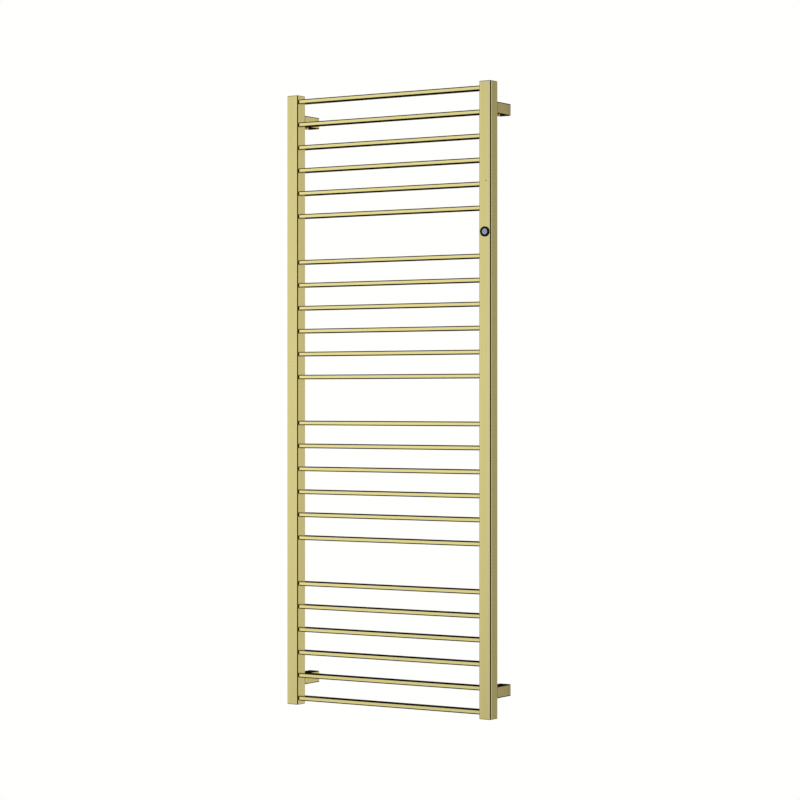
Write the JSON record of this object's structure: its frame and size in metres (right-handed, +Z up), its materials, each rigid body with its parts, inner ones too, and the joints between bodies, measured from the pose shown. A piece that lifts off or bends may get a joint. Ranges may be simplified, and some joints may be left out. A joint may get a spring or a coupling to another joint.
{
  "type": "towel warmer rack",
  "caption": "Wall-mounted electric towel warmer: two square posts joined by flat bars in four groups, on telescoping wall brackets, with a push button in one post.",
  "frame": {"origin": "centre of the four wall screw holes, on the wall plane", "axes": "+Z up, -Y out of the wall into the room, +X to the right seen from the room"},
  "size_m": [0.62, 0.103, 1.593],
  "materials": {
    "gold_steel": "satin brushed gold, hard coated",
    "black_plastic": "fine matt black",
    "black_metal": "satin black",
    "button_metal": "satin blue-grey",
    "spring_steel": "bright drawn wire",
    "zinc_steel": "bright zinc plated",
    "black_rubber": "matt moulded rubber",
    "lamp_lens": "smoked lens",
    "grey_plastic": "fine matt grey",
    "circuit_board": "solder mask green",
    "component_plastic": "matt moulded",
    "terminal_plastic": "natural moulded plastic",
    "silicone_cable": "matt silicone rubber",
    "lead_sheath": "matt sheath"
  },
  "bodies": {
    "rack": {"bar_01": "gold_steel", "bar_02": "gold_steel", "bar_03": "gold_steel", "bar_04": "gold_steel", "bar_05": "gold_steel", "bar_06": "gold_steel", "bar_07": "gold_steel", "bar_08": "gold_steel", "bar_09": "gold_steel", "bar_10": "gold_steel", "bar_11": "gold_steel", "bar_12": "gold_steel", "bar_13": "gold_steel", "bar_14": "gold_steel", "bar_15": "gold_steel", "bar_16": "gold_steel", "bar_17": "gold_steel", "bar_18": "gold_steel", "bar_19": "gold_steel", "bar_20": "gold_steel", "bar_21": "gold_steel", "bar_22": "gold_steel", "bar_23": "gold_steel", "bar_24": "gold_steel", "board_carrier": "grey_plastic", "board_components": "component_plastic", "board_terminals": "terminal_plastic", "bottom_left_bracket_sleeve": "gold_steel", "bottom_left_wall_stub": "gold_steel", "bottom_right_bracket_sleeve": "gold_steel", "bottom_right_wall_stub": "gold_steel", "bracket_bolts": "zinc_steel", "button_spring": "spring_steel", "cable_grommet": "black_rubber", "control_board": "circuit_board", "earth_stud": "zinc_steel", "indicator_lamp": "lamp_lens", "left_bottom_cap": "gold_steel", "left_post": "gold_steel", "left_top_cap": "gold_steel", "locking_screws": "gold_steel", "lower_heating_cable": "silicone_cable", "post_nuts": "zinc_steel", "right_bottom_cap": "gold_steel", "right_post": "gold_steel", "right_top_cap": "gold_steel", "supply_lead": "lead_sheath", "supply_terminal": "terminal_plastic", "switch_contacts": "black_plastic", "switch_gasket": "black_rubber", "switch_housing": "black_metal", "switch_nut": "zinc_steel", "thermal_cutout": "component_plastic", "top_left_bracket_sleeve": "gold_steel", "top_left_wall_stub": "gold_steel", "top_right_bracket_sleeve": "gold_steel", "top_right_wall_stub": "gold_steel", "upper_heating_cable": "silicone_cable"},
    "button": {"button_cap": "button_metal"}
  },
  "joints": [
    {"name": "power_button_press", "type": "slide", "parent": "rack", "child": "button", "axis": [0, 1, 0], "range_m": [0, 0.0012], "stiffness_N_per_m": 2500, "springref_m": -0.0006, "deforming": ["button_spring"]}
  ]
}
